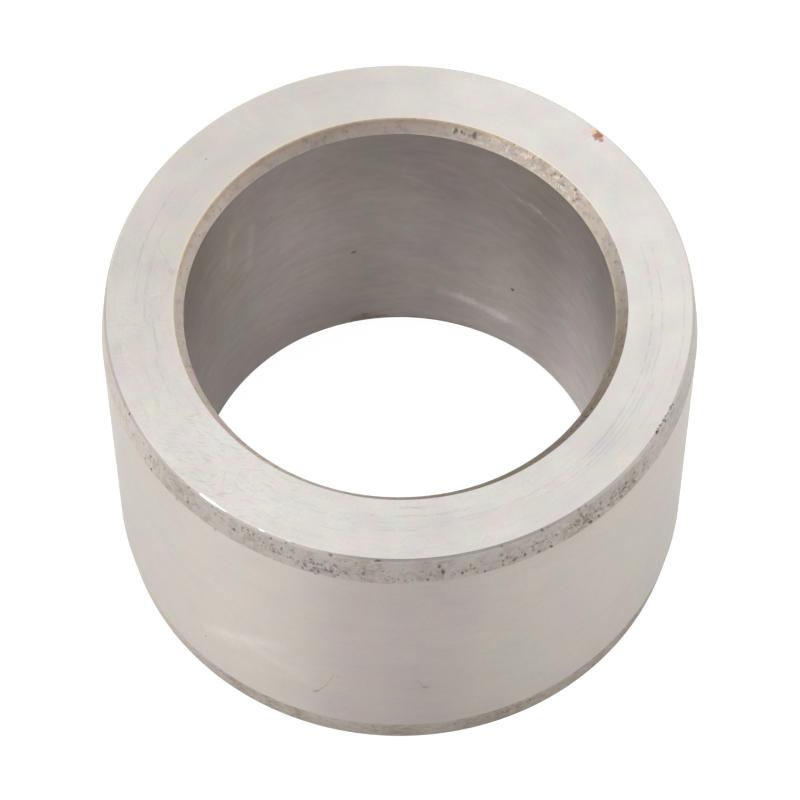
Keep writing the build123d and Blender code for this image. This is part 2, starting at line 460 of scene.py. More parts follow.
def strip_rows(section, shape, marks, strip):
    """Distances along one strip at which a mesh row runs, without its corners."""
    fine, plain, start = shape.fine_row / MM, shape.plain_row / MM, shape.corner_round / MM
    length = section.length[strip]
    end = length - start
    if STRIPS[strip] in PITTED:
        return np.linspace(start, end, max(3, round((end - start) / fine)) + 1)
    rows = list(np.linspace(start, end, max(2, round(length / plain)) + 1))
    for guard in GUARD_ROWS:
        rows += [start + guard, end - guard]
    for mark in marks:
        if mark.strip == strip:
            reach = REACH * mark.tall
            steps = max(4, math.ceil(2 * reach / fine))
            rows += list(np.linspace(mark.along - reach, mark.along + reach, steps + 1))
    rows = sorted(row for row in rows if start <= row <= end)
    keep = [rows[0]]
    for row in rows[1:]:
        if row - keep[-1] > ROW_GAP * fine:
            keep.append(row)
    keep[-1] = end
    return np.array(keep)


def every_ring(section, shape, marks):
    """The rings of the mesh: strip, share of the way along it, and a rounding offset from that point."""
    rings = []
    round_off = shape.corner_round / MM
    for strip in range(len(STRIPS)):
        back = -section.heading[strip - 1] * round_off
        ahead = section.heading[strip] * round_off
        for share in (1 / 3, 2 / 3):
            offset = (1 - share) ** 2 * back + share ** 2 * ahead
            rings.append((strip, 0.0, offset))
        for row in strip_rows(section, shape, marks, strip):
            rings.append((strip, row / section.length[strip], np.zeros(2)))
    return rings


# How deep the nick runs along the rim: turn in degrees, share of its full depth.
NICK = (
    (-131.9, 0.0), (-130.9, 0.65), (-129.7, 0.85), (-128.2, 0.6), (-126.6, 0.36), (-124.8, 0.2), (-122.6, 0.09),
    (-120.5, 0.12), (-118.4, 0.06), (-117.4, 0.3), (-116.7, 0.26), (-116.0, 0.0), (-113.0, 0.0), (-112.0, 0.2),
    (-111.2, 0.2), (-110.6, 0.0),
)
NICK_LEAN = 69.0         # degrees from level to the way the nick's bevel faces
NICK_REACH = 0.45        # how far from the corner its mesh is fine, in mm
NICK_LEAST = 0.002       # where it is shallower than this, nothing is cut, in mm
NICK_BARE = 0.006        # where it is deeper than this, the steel is bare, in mm


def ring_columns(section, rings, marks):
    """Which columns each ring has: the base ones, and fine ones where it crosses a mark or the nick."""
    degree = COLUMNS / 360
    wanted = [set(range(0, COLUMNS, BASE_STEP)) for _ in rings]
    middle = np.array([section.point(strip, share * section.length[strip]) for strip, share, _ in rings])
    for mark in marks:
        centre = section.point(mark.strip, mark.along)
        reach = REACH * max(mark.wide, mark.tall)
        off = np.linalg.norm(middle - centre, axis=1)
        for index in np.nonzero(off < reach)[0]:
            half = math.degrees(REACH * mark.wide / centre[0]) * degree
            first = math.floor((mark.turn % 360) * degree - half)
            last = math.ceil((mark.turn % 360) * degree + half)
            wanted[index].update(column % COLUMNS for column in range(first, last + 1))
    rim = section.corners[UP_EDGE]
    for index in np.nonzero(np.linalg.norm(middle - rim, axis=1) < NICK_REACH)[0]:
        first = round((NICK[0][0] % 360) * degree)
        last = round((NICK[-1][0] % 360) * degree)
        wanted[index].update(range(first, last + 1, 2))
    return [np.array(sorted(columns)) for columns in wanted], middle


def cut_nick(turn, place, section, shape):
    """Bevels the outer corner of the upper face over part of its turn, and says where it is bare."""
    depth = np.interp(apart(turn, 0), *zip(*NICK)) * shape.nick_depth / MM
    lean = math.radians(NICK_LEAN)
    way = np.array((math.cos(lean), math.sin(lean)))
    over = (place - section.corners[UP_EDGE]) @ way + depth
    near = np.linalg.norm(place - section.corners[UP_EDGE], axis=1) < NICK_REACH
    cut = np.where(near & (depth > NICK_LEAST), np.clip(over, 0, None), 0)
    return place - cut[:, None] * way, np.clip(cut / NICK_BARE, 0, 1)


def wear_in(section, marks, turn, place):
    """Pushes the pits and spots into the surface and says how dirty each point is."""
    depth = np.zeros(len(turn))
    lean = np.zeros((len(turn), 2))
    dirt = np.zeros(len(turn))
    for mark in marks:
        centre = section.point(mark.strip, mark.along)
        off = place - centre
        across = off @ section.heading[mark.strip]
        out = off @ section.normal[mark.strip]
        swing = np.radians(apart(turn, mark.turn)) * centre[0]
        reach = DIRT_REACH * max(mark.wide, mark.tall)
        near = np.nonzero((np.abs(swing) < reach) & (np.abs(across) < reach) & (np.abs(out) < reach))[0]
        if not len(near):
            continue
        u, v, w = swing[near] / mark.wide, across[near] / mark.tall, out[near] / mark.tall
        around = np.arctan2(v, u)
        ragged = sum((high * np.sin(beat * around + phase) for (beat, high), phase in zip(PIT_WAVES, mark.phase)),
                     PIT_SHRINK)
        far = np.sqrt(u * u + v * v + w * w) * ragged
        bowl = mark.deep * np.clip(1 - far ** 2, 0, 1) ** PIT_BOWL
        deeper = bowl > depth[near]
        depth[near[deeper]] = bowl[deeper]
        lean[near[deeper]] = section.normal[mark.strip]
        soft = np.clip((DIRT_END - far) / DIRT_FADE, 0, 1)
        dirt[near] = np.maximum(dirt[near], mark.dirt * soft * soft * (3 - 2 * soft))
    return place - depth[:, None] * lean, dirt


def stain_on(turn, strips):
    """A soft brown stain round the worst patches."""
    stain = np.zeros(len(turn))
    for strip, at, spread, strength in STAINS:
        stain = np.maximum(stain, np.where(strips == strip, hump(apart(turn, at), spread) * strength, 0))
    return stain


FRECKLE_SWING, FRECKLE_CLIMB = 1.5, 1.3      # how far freckles reach past a patch, round the ring and up it
FRECKLE_FULL = 30        # a patch with this many pits is fully freckled


def freckle_on(section, turn, strips, along):
    """Where the fine freckles between the pits stand thickest."""
    freckle = np.zeros(len(turn))
    for strip, where, patches in ((UP_LEAD, section.at, UPPER_PATCHES), (LOW_LEAD, section.at, LOWER_PATCHES),
                                  (UP_CHAMFER, section.part_way, CHAMFER_PATCHES)):
        for at, spread, middle, rise, count, _ in patches:
            swing = apart(turn, at) / (FRECKLE_SWING * spread)
            climb = (along - where(strip, middle)) / (FRECKLE_CLIMB * rise)
            here = np.exp(-swing ** 2 - climb ** 2) * min(1.0, count / FRECKLE_FULL)
            freckle = np.maximum(freckle, np.where(strips == strip, here, 0))
    return freckle


def rub_on(section, shape, turn, strips, along):
    """Straw and light lines along both edges of the upper chamfer, a soft one on the face beside it and a light band
    on its inner part at the right, partly a real rubbed tint and partly painted edge highlight: along it in mm, round
    it in degrees.
    """
    rng = np.random.default_rng(shape.seed + 2)
    strong = np.clip(0.6 + waver(turn, rng, 0.6), 0.15, 1.0)
    strong *= np.clip(np.cos(np.radians(apart(turn, 115))) + 0.35, 0.05, 1.0)
    rim = 0.75 * hump(section.length[UP_CHAMFER] - along, 0.2) * strong
    over = 0.5 * hump(along, 0.3) * strong
    foot = hump(along, 0.13) * np.maximum(hump(apart(turn, 48), 34), 0.6 * hump(apart(turn, 145), 28))
    strip = 0.45 * hump(along, 0.42, 4) * hump(apart(turn, 8), 30)
    on_chamfer = np.maximum(rim, np.maximum(foot, strip))
    return np.where(strips == UP_CHAMFER, on_chamfer, np.where(strips == UP_FACE, over, 0))


# Turn and strength of the painted shade on the upper edge break, a painted dark reflection along its front.
EDGE_DARKENING = ((-108, 0.0), (-101, 0.5), (-98, 0.9), (-92, 1.0), (-60, 1.0), (-50, 0.6), (-24, 0.5), (-12, 0.2), (5, 0.0))
LOW_EDGE_DARKENING = 0.8           # the lower one is darkened all round


def film_on(turn, strips):
    """Where the edge breaks are darkened: a painted dark reflection along the front of the upper one, and all round
    the lower one.
    """
    edge_darkening = np.interp(apart(turn, 0), *zip(*EDGE_DARKENING))
    return np.where(strips == UP_EDGE, edge_darkening, np.where(strips == LOW_EDGE, LOW_EDGE_DARKENING, 0))


def column_at(columns, index):
    """The column at this place of a ring, which closes at the last one."""
    return columns[index] if index < len(columns) else COLUMNS


def join_rings(lower, upper, lower_first, upper_first):
    """Faces between two rings whose columns differ, as corners (vertex, column, which ring)."""
    faces = []
    i = j = 0
    while i < len(lower) or j < len(upper):
        low, next_low = ((lower_first + k % len(lower), column_at(lower, k), 0) for k in (i, i + 1))
        high, next_high = ((upper_first + k % len(upper), column_at(upper, k), 1) for k in (j, j + 1))
        if next_low[1] == next_high[1] and i < len(lower) and j < len(upper):
            faces.append((low, high, next_high, next_low))
            i += 1
            j += 1
        elif j >= len(upper) or (i < len(lower) and next_low[1] < next_high[1]):
            faces.append((low, high, next_low))
            i += 1
        else:
            faces.append((low, high, next_high))
            j += 1
    return faces


# Share of the baked picture's height that a millimetre of each strip gets.
BAKE_SHARE = {"bore": 0.8, "outside": 0.9, "face": 1.6, "lead": 2.2, "chamfer": 1.8, "edge": 2.2}
BAKE_EDGE = 0.004        # free margin round each half of the baked picture


def bake_climb(rings, middle):
    """How high up its half of the baked picture each ring lies, with every strip's own share."""
    gap = np.linalg.norm(np.roll(middle, -1, axis=0) - middle, axis=1)
    weight = np.array([BAKE_SHARE[STRIPS[strip]] for strip, _, _ in rings])
    climb = np.concatenate(((0,), np.cumsum(gap * weight)))
    return climb / climb[-1]


def sleeve_faces(rings, columns, climb):
    """The faces between all rings, the finish of each, and where its corners lie in the baked picture."""
    faces, finish, bake = [], [], []
    firsts = [0, *accumulate(len(ring) for ring in columns)]
    for ring, (strip, _, _) in enumerate(rings):
        above = (ring + 1) % len(rings)
        for corners in join_rings(columns[ring], columns[above], firsts[ring], firsts[above]):
            faces.append([vertex for vertex, _, _ in corners])
            finish.append(FINISHES.index(STRIPS[strip]))
            half = int(sum(column for _, column, _ in corners) / len(corners) >= HALF_TURN)
            for _, column, up in corners:
                across = (column - half * HALF_TURN) / HALF_TURN
                bake.append((BAKE_EDGE + (1 - 2 * BAKE_EDGE) * across,
                             half * 0.5 + BAKE_EDGE + (0.5 - 2 * BAKE_EDGE) * climb[ring + up]))
    return faces, finish, bake


def sleeve_mesh(section, shape):
    """The whole worn sleeve as one closed mesh."""
    marks = every_mark(section, shape)
    rings = every_ring(section, shape, marks)
    columns, middle = ring_columns(section, rings, marks)
    corners = worn_corners(section, shape)
    place = np.concatenate([
        (1 - share) * corners[strip][ring] + share * corners[(strip + 1) % len(STRIPS)][ring] + offset
        for (strip, share, offset), ring in zip(rings, columns)])
    sizes = [len(ring) for ring in columns]
    turn = np.concatenate(columns) * 2 * math.pi / COLUMNS
    strips = np.repeat([strip for strip, _, _ in rings], sizes)
    along = np.repeat([share * section.length[strip] for strip, share, _ in rings], sizes)
    # Wear at every point, with the painted shade of the edge breaks and the partly painted edge highlights.
    wear = {
        "stain": stain_on(turn, strips), "freckle": freckle_on(section, turn, strips, along),
        "rub_and_highlight": rub_on(section, shape, turn, strips, along), "edge_darkening": film_on(turn, strips),
    }
    place, wear["nick"] = cut_nick(turn, place, section, shape)
    place, wear["pit"] = wear_in(section, marks, turn, place)
    points = np.column_stack((place[:, 0] * np.cos(turn), place[:, 0] * np.sin(turn), place[:, 1])) * MM

    faces, finish, bake = sleeve_faces(rings, columns, bake_climb(rings, middle))
    mesh = bpy.data.meshes.new("worn_sleeve")
    mesh.from_pydata(points.tolist(), [], faces)
    mesh.polygons.foreach_set("use_smooth", np.ones(len(faces), dtype=bool))
    mesh.polygons.foreach_set("material_index", np.array(finish, dtype=np.int32))
    mesh.uv_layers.new(name="OFBake").data.foreach_set("uv", np.array(bake, dtype=np.float32).ravel())
    for name, values in wear.items():
        mesh.attributes.new(name, "FLOAT", "POINT").data.foreach_set("value", values.astype(np.float32))
    if mesh.validate():
        raise RuntimeError("the sleeve mesh had faces that had to be mended")
    mesh.update()
    return mesh


# ---------------------------------------------------------------- nodes


class Wires:
    """Adds nodes to a tree and joins them, so that a finish reads as a list of steps."""

    def __init__(self, tree):
        self.tree = tree
        tree.nodes.clear()

    def put(self, socket, value):
        if isinstance(value, bpy.types.NodeSocket):
            self.tree.links.new(value, socket)
        else:
            socket.default_value = value

    def node(self, kind, *values, **settings):
        """A new node with its settings, and with values or wires for its first sockets."""
        made = self.tree.nodes.new("ShaderNode" + kind)
        for name, value in settings.items():
            setattr(made, name, value)
        for socket, value in zip(made.inputs, values):
            self.put(socket, value)
        return made

    def fill(self, made, **values):
        """Fills a node's sockets by name, an underscore for a space, and gives its outputs."""
        for name, value in values.items():
            self.put(made.inputs[name.replace("_", " ")], value)
        return made.outputs

    def maths(self, operation, *values, clamp=False):
        return self.node("Math", *values, operation=operation, use_clamp=clamp).outputs[0]

    plus = partialmethod(maths, "ADD")
    minus = partialmethod(maths, "SUBTRACT")
    times = partialmethod(maths, "MULTIPLY")
    over = partialmethod(maths, "DIVIDE")
    scaled = partialmethod(maths, "MULTIPLY_ADD")
    larger = partialmethod(maths, "MAXIMUM")

    def vector(self, operation, *values):
        single = operation in ("LENGTH", "DISTANCE", "DOT_PRODUCT")
        return self.node("VectorMath", *values, operation=operation).outputs["Value" if single else "Vector"]

    dot = partialmethod(vector, "DOT_PRODUCT")
    moved = partialmethod(vector, "ADD")

    def stretched(self, vector, scale):
        return self.fill(self.node("VectorMath", vector, operation="SCALE"), Scale=scale)["Vector"]

    def combine(self, x, y, z):
        return self.node("CombineXYZ", x, y, z).outputs[0]

    def remap(self, value, low, high, to_low=0.0, to_high=1.0):
        """Runs softly from one level to the other while the value goes from low to high."""
        made = self.node("MapRange", value, low, high, to_low, to_high, interpolation_type="SMOOTHSTEP")
        return made.outputs["Result"]

    def noise(self, vector, scale, detail=2.0, rough=0.5, distort=0.0):
        made = self.node("TexNoise", vector, noise_dimensions="3D")
        return self.fill(made, Scale=scale, Detail=detail, Roughness=rough, Distortion=distort)["Fac"]

    def shifting_noise(self, vector, variant, scale, detail=2.0, rough=0.5):
        """Noise of which every variant has its own pattern."""
        made = self.node("TexNoise", vector, variant, noise_dimensions="4D")
        return self.fill(made, Scale=scale, Detail=detail, Roughness=rough, Distortion=0.0)["Fac"]

    def mix(self, factor, first, second, blend="MIX"):
        """Blends two colours. A mix node keeps those in sockets of their own, behind the ones for numbers."""
        made = self.node("Mix", factor, data_type="RGBA", blend_type=blend)
        self.put(made.inputs[6], first)
        self.put(made.inputs[7], second)
        return made.outputs[2]

    def tinted(self, colour, tone):
        return self.mix(1.0, colour, tone, "MULTIPLY")

    def group(self, name, **values):
        return self.fill(self.node("Group", node_tree=bpy.data.node_groups[name]), **values)

    def output(self, kind, **values):
        """The first output of a new node that is filled by name."""
        return self.fill(self.node(kind), **values)[0]


SHARED_GROUPS = []       # the steps, inputs and outputs of each
GREY = (0.5, 0.5, 0.5, 1.0)      # stands in for a steel colour until a finish sets it


def shared_group(outputs, **inputs):
    """Marks the steps of a node group: a function that takes wires and the inputs, and gives the outputs."""
    def keep(steps):
        SHARED_GROUPS.append((steps, inputs, outputs))
        return steps

    return keep


def add_sockets(tree, side, sockets):
    """Named sockets. A default shows the kind: none for a vector, a number for a value, else a colour."""
    for name, default in sockets.items():
        kind = "Vector" if default is None else "Float" if isinstance(default, float) else "Color"
        socket = tree.interface.new_socket(name=name.replace("_", " "), in_out=side,
                                           socket_type="NodeSocket" + kind)
        if default is not None and side == "INPUT":
            socket.default_value = default


def build_group(steps, inputs, outputs):
    """Builds one shared group, which has the name of its steps."""
    tree = bpy.data.node_groups.new(steps.__name__.replace("_", " "), "ShaderNodeTree")
    add_sockets(tree, "INPUT", inputs)
    add_sockets(tree, "OUTPUT", outputs)
    w = Wires(tree)
    start, end = tree.nodes.new("NodeGroupInput"), tree.nodes.new("NodeGroupOutput")
    for socket, value in zip(end.inputs, steps(w, *list(start.outputs)[:len(inputs)])):
        w.put(socket, value)


@shared_group({"Point": None, "Radius": 0.0, "Height": 0.0, "Around": None, "Unrolled": None})
def place_on_ring(w):
    """Where a point lies on the sleeve, in mm: point, radius, height, the way it faces and the unrolled wall."""
    point = w.stretched(w.node("TexCoord").outputs["Object"], 1 / MM)
    x, y, z = w.node("SeparateXYZ", point).outputs
    radius = w.vector("LENGTH", w.combine(x, y, 0.0))
    around = w.combine(w.over(x, radius), w.over(y, radius), 0.0)
    unrolled = w.combine(w.times(w.maths("ARCTAN2", y, x), radius), z, 0.0)
    return point, radius, z, around, unrolled


@shared_group({"Fine": 0.0, "Broad": 0.0}, Around=None, Across=0.0, Lines_per_mm=4.0, Length=3.0, Seed=0.0)
def grinding_lay(w, around, across, lines, length, seed):
    """Fine uneven lines round the ring, as a wheel or a lathe tool leaves them."""
    ring = w.stretched(around, length)
    fine = w.noise(w.moved(ring, w.combine(seed, 0.0, w.times(across, lines))), 1.0, 3.0, 0.6)
    slow = w.times(w.times(across, lines), 0.16)
    return fine, w.noise(w.moved(w.stretched(ring, 0.5), w.combine(0.0, seed, slow)), 1.0)


@shared_group({"Steel": GREY, "Smear": 0.0}, Point=None, Steel=GREY, Patch=0.2, Amount=0.05, Seed=0.0)
def handling_mottle(w, point, steel, patch, amount, seed):
    """Very faint patches of warmer and cooler steel, from handling and oil."""
    shift = w.moved(point, w.combine(seed, seed, 0.0))
    big = w.noise(shift, w.times(patch, 0.4), 3.0, 0.55, 0.4)
    warm = w.noise(w.moved(shift, (37.0, 11.0, 5.0)), patch, distort=0.2)
    green = w.noise(w.moved(shift, (-19.0, 53.0, 8.0)), patch, distort=0.2)
    grit = w.noise(shift, w.times(patch, 7.0), 3.0, 0.65)
    brightness = w.scaled(w.minus(big, 0.5), amount, 1.0)
    brightness = w.scaled(w.minus(grit, 0.5), w.times(amount, 0.9), brightness)
    tint = w.times(amount, 0.9)
    red = w.scaled(w.minus(warm, 0.5), tint, brightness)
    leaf = w.scaled(w.minus(green, 0.5), tint, brightness)
    blue = w.scaled(w.minus(0.5, w.times(w.plus(warm, green), 0.5)), tint, brightness)
    return w.tinted(steel, w.combine(red, leaf, blue)), big


@shared_group({"Stroke": 0.0}, Surface=None, Lean=0.0, Length=6.0, Width=0.4, Bend=5.0, Number=0.5, Seed=0.0)
def brushed_strokes(w, surface, lean, length, width, bend, number, seed):
    """Thin random strokes lying roughly one way, with their length and width in mm."""
    turned = w.fill(w.node("VectorRotate", surface, rotation_type="Z_AXIS"), Angle=lean)[0]
    x, y, z = w.node("SeparateXYZ", turned).outputs
    bent = w.noise(w.moved(surface, w.combine(seed, 0.0, 7.0)), 0.12, 1.0)
    across = w.scaled(bent, bend, w.over(y, width))
    lines = w.noise(w.combine(w.over(x, length), across, w.plus(seed, z)), 1.0, 1.0)
    limit = w.minus(0.8, w.times(number, 0.16))
    return w.remap(lines, limit, w.plus(limit, 0.07)),


@shared_group({"Scratch": 0.0}, Surface=None, From=None, To=None, Width=0.1)
def straight_scratch(w, surface, start, end, width):
    """One soft line between two points of the surface, used for scratches and for painted glint streaks."""
    flat = w.vector("MULTIPLY", surface, (1.0, 1.0, 0.0))
    run = w.vector("SUBTRACT", end, start)
    off = w.vector("SUBTRACT", flat, start)
    share = w.over(w.dot(off, run), w.dot(run, run), clamp=True)
    gap = w.vector("DISTANCE", flat, w.moved(start, w.stretched(run, share)))
    wobble = w.scaled(w.noise(flat, 1.7), 1.2, -0.1)
    return w.remap(gap, w.times(width, wobble), 0.0),


@shared_group({"Scratch": 0.0}, Around=None, Radius=0.0, At_radius=31.0, Middle_turn=0.0, Half_span=10.0,
              Width=0.12)
def arc_scratch(w, around, radius, at_radius, middle_turn, half_span, width):
    """One scratch that runs round the axis on an end face."""
    middle = w.maths("RADIANS", middle_turn)
    facing = w.combine(w.maths("COSINE", middle), w.maths("SINE", middle), 0.0)
    swing = w.maths("DEGREES", w.maths("ARCCOSINE", w.dot(around, facing)))
    ends = w.remap(swing, w.times(half_span, 0.6), half_span, 1.0, 0.0)
    uneven = w.shifting_noise(around, at_radius, 17.0, 3.0, 0.6)
    bowed = w.scaled(w.minus(uneven, 0.5), 0.45, at_radius)
    line = w.remap(w.maths("ABSOLUTE", w.minus(radius, bowed)), width, 0.0)
    patchy = w.shifting_noise(around, w.times(at_radius, 3.0), 23.0)
    strength = w.remap(patchy, 0.36, 0.6, 0.15, 1.0)
    return w.times(w.times(line, ends), strength),


@shared_group({"Blot": 0.0}, Surface=None, Centre=None, Size=1.0, Ragged=0.5)
def ragged_blot(w, surface, centre, size, ragged):
    """One stain or rust spot with a ragged edge."""
    gap = w.over(w.vector("DISTANCE", surface, centre), size)
    uneven = w.noise(surface, w.over(1.3, size), 4.0, 0.65)
    gap = w.scaled(w.minus(uneven, 0.5), w.times(ragged, 2.5), gap)
    return w.remap(gap, 1.05, 0.62),


@shared_group({"Steel": GREY, "Roughness": 0.0, "Metal": 0.0},
              Point=None, Steel=GREY, Pit=(0.05, 0.03, 0.03, 1.0), Stain=(0.5, 0.36, 0.2, 1.0),
              Film=(0.3, 0.3, 0.26, 1.0), Rub=(0.9, 0.75, 0.5, 1.0), Bare=(0.9, 0.9, 0.88, 1.0),
              Tarnish=(0.72, 0.67, 0.7, 1.0), Stain_strength=0.5, Freckle_strength=0.6, Roughness=0.36)
def surface_wear(w, point, steel, dark, brown, dull, straw, bare, haze, stain_strength, freckle_strength, rough):
    """Everything that the mesh knows of its wear, with the painted shade of the edge breaks and the partly painted
    edge highlights, laid over a steel colour.
    """
    pits, stains, freckles, rub_and_highlight, edge_darkening, nick = (
        w.node("Attribute", attribute_name=name).outputs["Fac"]
        for name in ("pit", "stain", "freckle", "rub_and_highlight", "edge_darkening", "nick"))
    blotchy = w.noise(point, 1.6, 4.0, 0.6)
    stain = w.times(w.times(stains, w.remap(blotchy, 0.33, 0.6)), stain_strength, clamp=True)
    steel = w.mix(stain, steel, brown)
    # Painted shade: the edge breaks are darkened where the mesh says, a painted dark reflection on the upper one.
    steel = w.mix(w.times(edge_darkening, w.remap(blotchy, 0.2, 0.5, 0.7, 1.0)), steel, dull)
    # Straw line along the chamfer edges, partly a real tint and partly painted edge highlight.
    steel = w.mix(w.times(rub_and_highlight, w.remap(blotchy, 0.3, 0.6, 0.55, 1.0)), steel, straw)
    cloudy = w.noise(w.moved(point, (21.0, 5.0, 14.0)), 0.9, 3.0, 0.6)
    tarnish = w.times(w.remap(w.scaled(freckles, 0.14, cloudy), 0.5, 0.68), freckle_strength, clamp=True)
    steel = w.mix(tarnish, steel, w.tinted(steel, haze))
    upright = w.vector("MULTIPLY", w.moved(point, (4.0, 7.0, 2.0)), (1.0, 1.0, 0.55))
    grains = w.remap(w.scaled(freckles, 0.15, w.noise(upright, 2.4, 3.0, 0.65)), 0.62, 0.74)
    grains = w.times(grains, freckle_strength)
    steel = w.mix(grains, steel, dark)
    broken = w.remap(w.noise(w.moved(point, (9.0, 3.0, 1.0)), 3.2, 3.0, 0.6), 0.25, 0.65, 0.55, 1.0)
    pitted = w.times(pits, broken, clamp=True)
    steel = w.mix(nick, w.mix(pitted, steel, dark), bare)
    corroded = w.larger(pitted, grains)
    rough = w.scaled(corroded, 0.35, w.scaled(stain, 0.1, rough))
    return steel, w.scaled(nick, -0.14, rough, clamp=True), w.scaled(corroded, -0.6, 1.0)


# ---------------------------------------------------------------- the finishes


def rgba(colour):
    return (*colour, 1.0)


BARE_STEEL = (0.93, 0.92, 0.9)


class Finish(Wires):
    """One steel finish in the making: its wires, the place on the ring, its colour, gloss and relief."""

    def __init__(self, name, settings, colour, rougher=0.0):
        self.material = bpy.data.materials.new(name)
        self.material.use_nodes = True
        self.material.diffuse_color = rgba(colour)
        self.settings = settings
        super().__init__(self.material.node_tree)
        self.place = self.group("place on ring")
        self.colour = rgba(colour)
        self.roughness = settings.roughness + rougher
        self.relief = []

    def mottle(self, patch, amount, seed, gloss=None):
        """Faint patches of warmer and cooler steel, which gloss makes rougher and smoother too."""
        found = self.group("handling mottle", Point=self.place["Point"], Steel=self.colour, Patch=patch,
                           Amount=amount, Seed=seed)
        self.colour = found["Steel"]
        if gloss is not None:
            self.roughness = self.scaled(self.minus(found["Smear"], 0.5), gloss, self.roughness)

    def shade(self, mask, tone):
        """Multiplies the colour by one number or three where mask is one."""
        tone = rgba((tone, tone, tone) if isinstance(tone, float) else tone)
        self.colour = self.mix(mask, self.colour, self.tinted(self.colour, tone))

    def raise_by(self, mask, height):
        """Adds relief: height in mm where mask is one, below the surface when negative."""
        self.relief.append((mask, height))

    def facing(self, x, y, low, high, *levels):
        """A mask that grows towards the side of the ring that faces this way."""
        return self.remap(self.dot(self.place["Around"], (x, y, 0.0)), low, high, *levels)

    def height(self, low, high):
        """A mask that grows with the height from low to high, in mm."""
        return self.remap(self.place["Height"], low, high)

    def lay(self, across, lines, length, seed):
        return self.group("grinding lay", Around=self.place["Around"], Across=self.place[across],
                          Lines_per_mm=lines, Length=length, Seed=seed)

    def grind(self, lines, length, seed, tone, relief, low=0.35):
        """Grinding lines round the ring as shade and relief. Gives the fine ones."""
        lay = self.lay("Height", lines=lines, length=length, seed=seed)
        self.shade(self.remap(lay["Broad"], low, 0.7), tone)
        self.raise_by(lay["Fine"], relief)
        return lay["Fine"]

    def scratches(self, surface, where, rows):
        """Straight scratches and painted glint streaks, from two points, a width and a tone each; where makes a point
        of two numbers.
        """
        for first, second, third, fourth, width, tone in rows:
            found = self.group("straight scratch", Surface=self.place[surface], From=where(first, second),
                               To=where(third, fourth), Width=width)
            self.shade(found["Scratch"], tone)

    def strokes(self, surface, lean, length, width, bend, number, seed):
        return self.group("brushed strokes", Surface=self.place[surface], Lean=lean, Length=length, Width=width,
                          Bend=bend, Number=number, Seed=seed)["Stroke"]

    def blot(self, centre, size, ragged):
        return self.group("ragged blot", Surface=self.place["Point"], Centre=centre, Size=size,
                          Ragged=ragged)["Blot"]

    def wear(self, stain_colour, stain=0.0, freckles=0.0):
        """Lays the mesh's wear, with the painted edge shade and the partly painted edge highlights, over the finish.
        """
        settings = self.settings
        found = self.group("surface wear", Point=self.place["Point"], Steel=self.colour,
                           Pit=rgba(settings.pit_colour), Stain=rgba(stain_colour),
                           Film=rgba(settings.film_colour), Rub=rgba(settings.rub_colour), Bare=rgba(BARE_STEEL),
                           Stain_strength=stain, Freckle_strength=freckles, Roughness=self.roughness)
        self.colour, self.roughness, self.metal = found

    def finish(self):
        """Joins colour, gloss and relief to the shader and gives the material."""
        shader = self.node("BsdfPrincipled")
        self.fill(shader, Base_Color=self.colour, Roughness=self.roughness, Metallic=self.metal)
        height = reduce(self.plus, (self.times(mask, amount) for mask, amount in self.relief))
        bump = self.output("Bump", Strength=1.0, Distance=MM, Height=height)
        self.put(shader.inputs["Normal"], bump)
        self.node("OutputMaterial", shader.outputs[0])
        return self.material


CORNERS = section_corners()
BORE_RADIUS, OUTSIDE_RADIUS, TOP = CORNERS[BORE][0], CORNERS[OUTSIDE][0], CORNERS[UP_FACE][1]      # in mm


def on_face(radius, turn, height=0.0):
    """A point in mm, from its radius, its turn in degrees and its height."""
    return (radius * math.cos(math.radians(turn)), radius * math.sin(math.radians(turn)), height)


def unrolled(turn, height, radius=OUTSIDE_RADIUS):
    """A point of the unrolled wall in mm."""
    return (radius * math.radians(turn), height, 0.0)


# Dark arcs left on the end face: radius, middle turn, half span, strength.
FACE_ARCS = (
    (30.35, -12, 34, 0.5), (30.5, -46, 20, 0.5), (30.95, -30, 24, 0.35), (31.55, -14, 34, 0.45), (31.5, -44, 24, 0.45),
    (32.0, -34, 20, 0.3), (34.2, -6, 16, 0.35), (33.3, -30, 14, 0.2), (30.6, -68, 18, 0.35), (31.0, -84, 16, 0.35),
    (29.5, -90, 9, 0.5), (28.4, -86, 5, 0.7), (29.6, -80, 7, 0.5), (31.4, -91, 6, 0.6), (30.4, -101, 12, 0.35),
    (32.1, 162, 16, 0.5), (31.7, 177, 8, 0.3), (30.5, 166, 13, 0.35), (30.6, 178, 8, 0.3), (29.7, 151, 7, 0.25),
    (29.6, -168, 9, 0.45), (30.0, -160, 7, 0.4), (32.6, 100, 24, 0.15), (30.0, 60, 26, 0.15),
)
